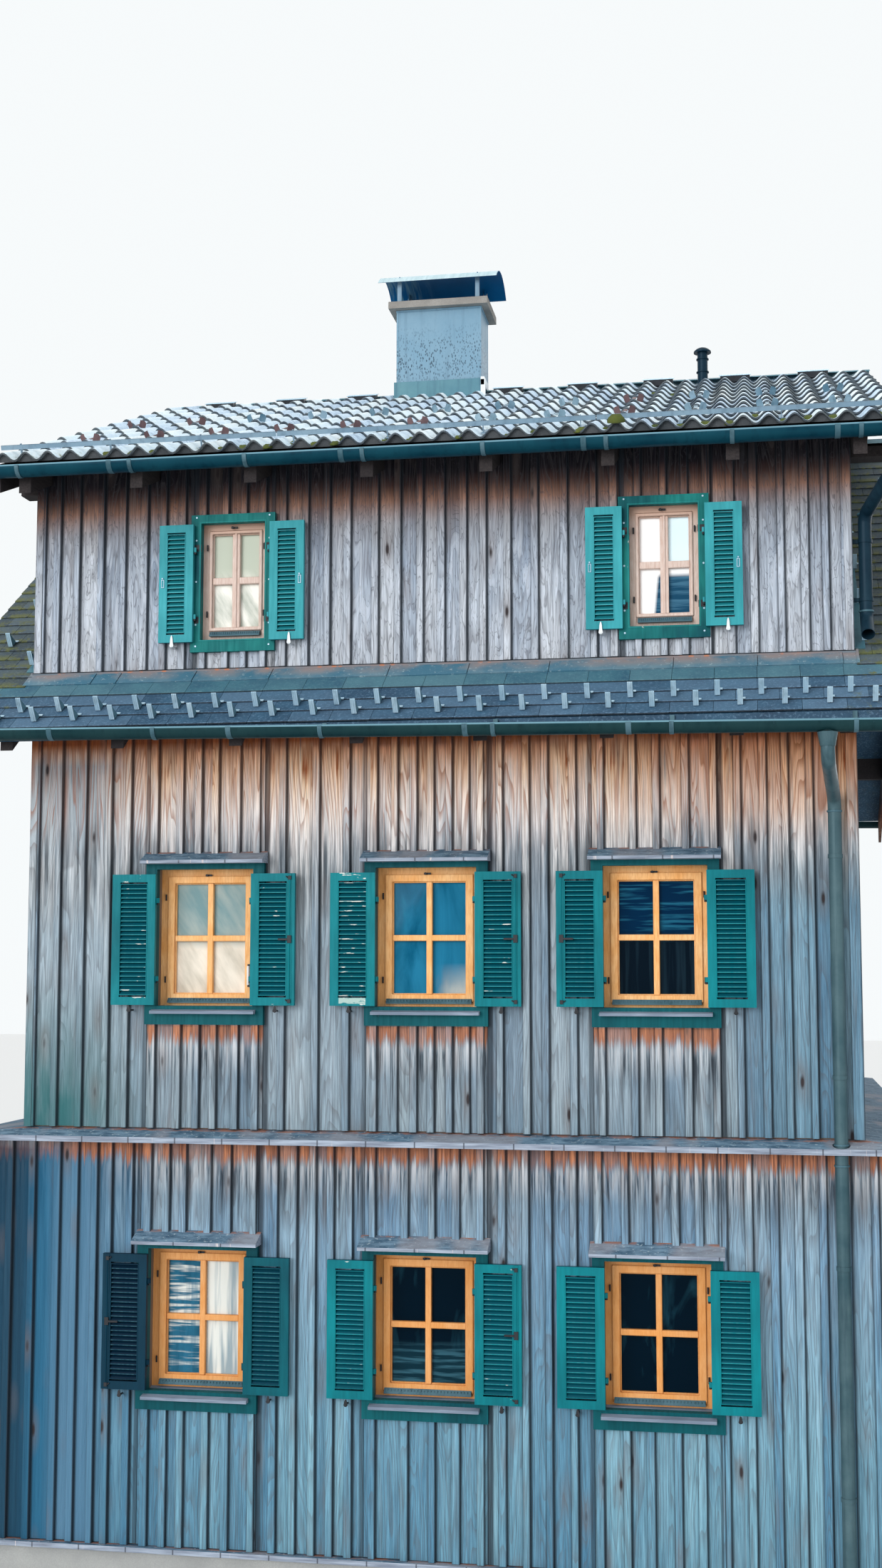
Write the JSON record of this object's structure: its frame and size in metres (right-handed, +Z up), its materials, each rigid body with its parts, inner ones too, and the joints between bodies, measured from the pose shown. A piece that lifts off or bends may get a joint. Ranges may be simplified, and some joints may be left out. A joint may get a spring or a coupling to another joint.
{
  "type": "timber lodge",
  "caption": "Three-storey timber house with board-and-batten walls, louvred shutters, a tiled upper roof and a shingled skirt roof.",
  "frame": {"origin": "middle of the plan at ground level", "axes": "+Z up, -Y towards the front that the windows and shutters of the picture are on, +X to the right of that front"},
  "size_m": [6.4604, 7.8116, 9.6849],
  "materials": {
    "timber_wall": "weathered upright boards and battens",
    "timber_frame": "sawn structural timber, dark",
    "masonry": "rendered masonry, weathered",
    "ledge_metal": "weathered sheet metal over a board",
    "clay_tile": "aged clay tile",
    "shingle": "dark slate-blue shingles with moss",
    "gutter_metal": "dark painted sheet",
    "chimney_metal": "grey painted sheet, rain-spotted",
    "concrete": "cast slab, weathered",
    "casing_paint": "teal-green painted boards",
    "frame_wood": "orange-brown stained window timber",
    "shutter_paint": "teal-green painted louvred leaves, peeling",
    "sill_wood": "bare grey timber",
    "pane": "window glass",
    "black_iron": "black forged iron"
  },
  "bodies": {
    "house": {"plinth": "masonry", "base_ledge": "ledge_metal", "lower_floor": "timber_frame", "middle_floor": "timber_frame", "upper_floor": "timber_frame", "front_wall_lower": "timber_wall", "front_wall_middle": "timber_wall", "front_wall_upper": "timber_wall", "back_wall_lower": "timber_wall", "back_wall_middle": "timber_wall", "back_wall_upper": "timber_wall", "left_wall": "timber_wall", "right_wall": "timber_wall", "storey_ledge": "ledge_metal", "main_roof_front": "shingle", "main_roof_back": "shingle", "main_rafters": "timber_frame", "main_purlins": "timber_frame", "main_barge_boards": "timber_frame", "main_ridge_caps": "ledge_metal", "tile_roof_front": "clay_tile", "tile_roof_back": "clay_tile", "roof_deck": "timber_frame", "rafters": "timber_frame", "purlins": "timber_frame", "verge_boards": "timber_frame", "tile_battens": "timber_frame", "upper_gutters": "gutter_metal", "middle_gutters": "gutter_metal", "gutter_brackets": "gutter_metal", "upper_downpipes": "gutter_metal", "middle_downpipes": "gutter_metal", "chimney_stack": "chimney_metal", "chimney_flashing": "chimney_metal", "chimney_slab": "concrete", "chimney_cowl": "chimney_metal", "vent_pipe": "gutter_metal", "window_casings": "casing_paint", "window_frames": "frame_wood", "window_glass": "pane", "window_sills": "sill_wood", "drip_caps": "ledge_metal", "shutter_pintles": "black_iron", "back_shutters": "shutter_paint"},
    "lower_shutter_1": {"lower_shutter_1": "shutter_paint"},
    "lower_shutter_2": {"lower_shutter_2": "shutter_paint"},
    "lower_shutter_3": {"lower_shutter_3": "shutter_paint"},
    "lower_shutter_4": {"lower_shutter_4": "shutter_paint"},
    "lower_shutter_5": {"lower_shutter_5": "shutter_paint"},
    "lower_shutter_6": {"lower_shutter_6": "shutter_paint"},
    "middle_shutter_1": {"middle_shutter_1": "shutter_paint"},
    "middle_shutter_2": {"middle_shutter_2": "shutter_paint"},
    "middle_shutter_3": {"middle_shutter_3": "shutter_paint"},
    "middle_shutter_4": {"middle_shutter_4": "shutter_paint"},
    "middle_shutter_5": {"middle_shutter_5": "shutter_paint"},
    "middle_shutter_6": {"middle_shutter_6": "shutter_paint"},
    "upper_shutter_1": {"upper_shutter_1": "shutter_paint"},
    "upper_shutter_2": {"upper_shutter_2": "shutter_paint"},
    "upper_shutter_3": {"upper_shutter_3": "shutter_paint"},
    "upper_shutter_4": {"upper_shutter_4": "shutter_paint"}
  },
  "joints": [
    {"name": "lower_shutter_1_hinge", "type": "hinge", "parent": "house", "child": "lower_shutter_1", "pos_m": [-1.752, -3.187, 1.45], "axis": [0, 0, 1], "range_deg": [0, 180]},
    {"name": "lower_shutter_2_hinge", "type": "hinge", "parent": "house", "child": "lower_shutter_2", "pos_m": [-1.148, -3.187, 1.45], "axis": [0, 0, -1], "range_deg": [0, 180]},
    {"name": "lower_shutter_3_hinge", "type": "hinge", "parent": "house", "child": "lower_shutter_3", "pos_m": [-0.317, -3.187, 1.45], "axis": [0, 0, 1], "range_deg": [0, 180]},
    {"name": "lower_shutter_4_hinge", "type": "hinge", "parent": "house", "child": "lower_shutter_4", "pos_m": [0.287, -3.187, 1.45], "axis": [0, 0, -1], "range_deg": [0, 180]},
    {"name": "lower_shutter_5_hinge", "type": "hinge", "parent": "house", "child": "lower_shutter_5", "pos_m": [1.088, -3.187, 1.45], "axis": [0, 0, 1], "range_deg": [0, 180]},
    {"name": "lower_shutter_6_hinge", "type": "hinge", "parent": "house", "child": "lower_shutter_6", "pos_m": [1.692, -3.187, 1.45], "axis": [0, 0, -1], "range_deg": [0, 180]},
    {"name": "middle_shutter_1_hinge", "type": "hinge", "parent": "house", "child": "middle_shutter_1", "pos_m": [-1.732, -3.187, 3.81], "axis": [0, 0, 1], "range_deg": [0, 180]},
    {"name": "middle_shutter_2_hinge", "type": "hinge", "parent": "house", "child": "middle_shutter_2", "pos_m": [-1.128, -3.187, 3.81], "axis": [0, 0, -1], "range_deg": [0, 180]},
    {"name": "middle_shutter_3_hinge", "type": "hinge", "parent": "house", "child": "middle_shutter_3", "pos_m": [-0.312, -3.187, 3.81], "axis": [0, 0, 1], "range_deg": [0, 180]},
    {"name": "middle_shutter_4_hinge", "type": "hinge", "parent": "house", "child": "middle_shutter_4", "pos_m": [0.292, -3.187, 3.81], "axis": [0, 0, -1], "range_deg": [0, 180]},
    {"name": "middle_shutter_5_hinge", "type": "hinge", "parent": "house", "child": "middle_shutter_5", "pos_m": [1.098, -3.187, 3.81], "axis": [0, 0, 1], "range_deg": [0, 180]},
    {"name": "middle_shutter_6_hinge", "type": "hinge", "parent": "house", "child": "middle_shutter_6", "pos_m": [1.702, -3.187, 3.81], "axis": [0, 0, -1], "range_deg": [0, 180]},
    {"name": "upper_shutter_1_hinge", "type": "hinge", "parent": "house", "child": "upper_shutter_1", "pos_m": [-1.514, -3.203, 6.139], "axis": [0, 0, 1], "range_deg": [0, 180]},
    {"name": "upper_shutter_2_hinge", "type": "hinge", "parent": "house", "child": "upper_shutter_2", "pos_m": [-1.028, -3.203, 6.139], "axis": [0, 0, -1], "range_deg": [0, 180]},
    {"name": "upper_shutter_3_hinge", "type": "hinge", "parent": "house", "child": "upper_shutter_3", "pos_m": [1.235, -3.203, 6.139], "axis": [0, 0, 1], "range_deg": [0, 180]},
    {"name": "upper_shutter_4_hinge", "type": "hinge", "parent": "house", "child": "upper_shutter_4", "pos_m": [1.721, -3.203, 6.139], "axis": [0, 0, -1], "range_deg": [0, 180]}
  ]
}
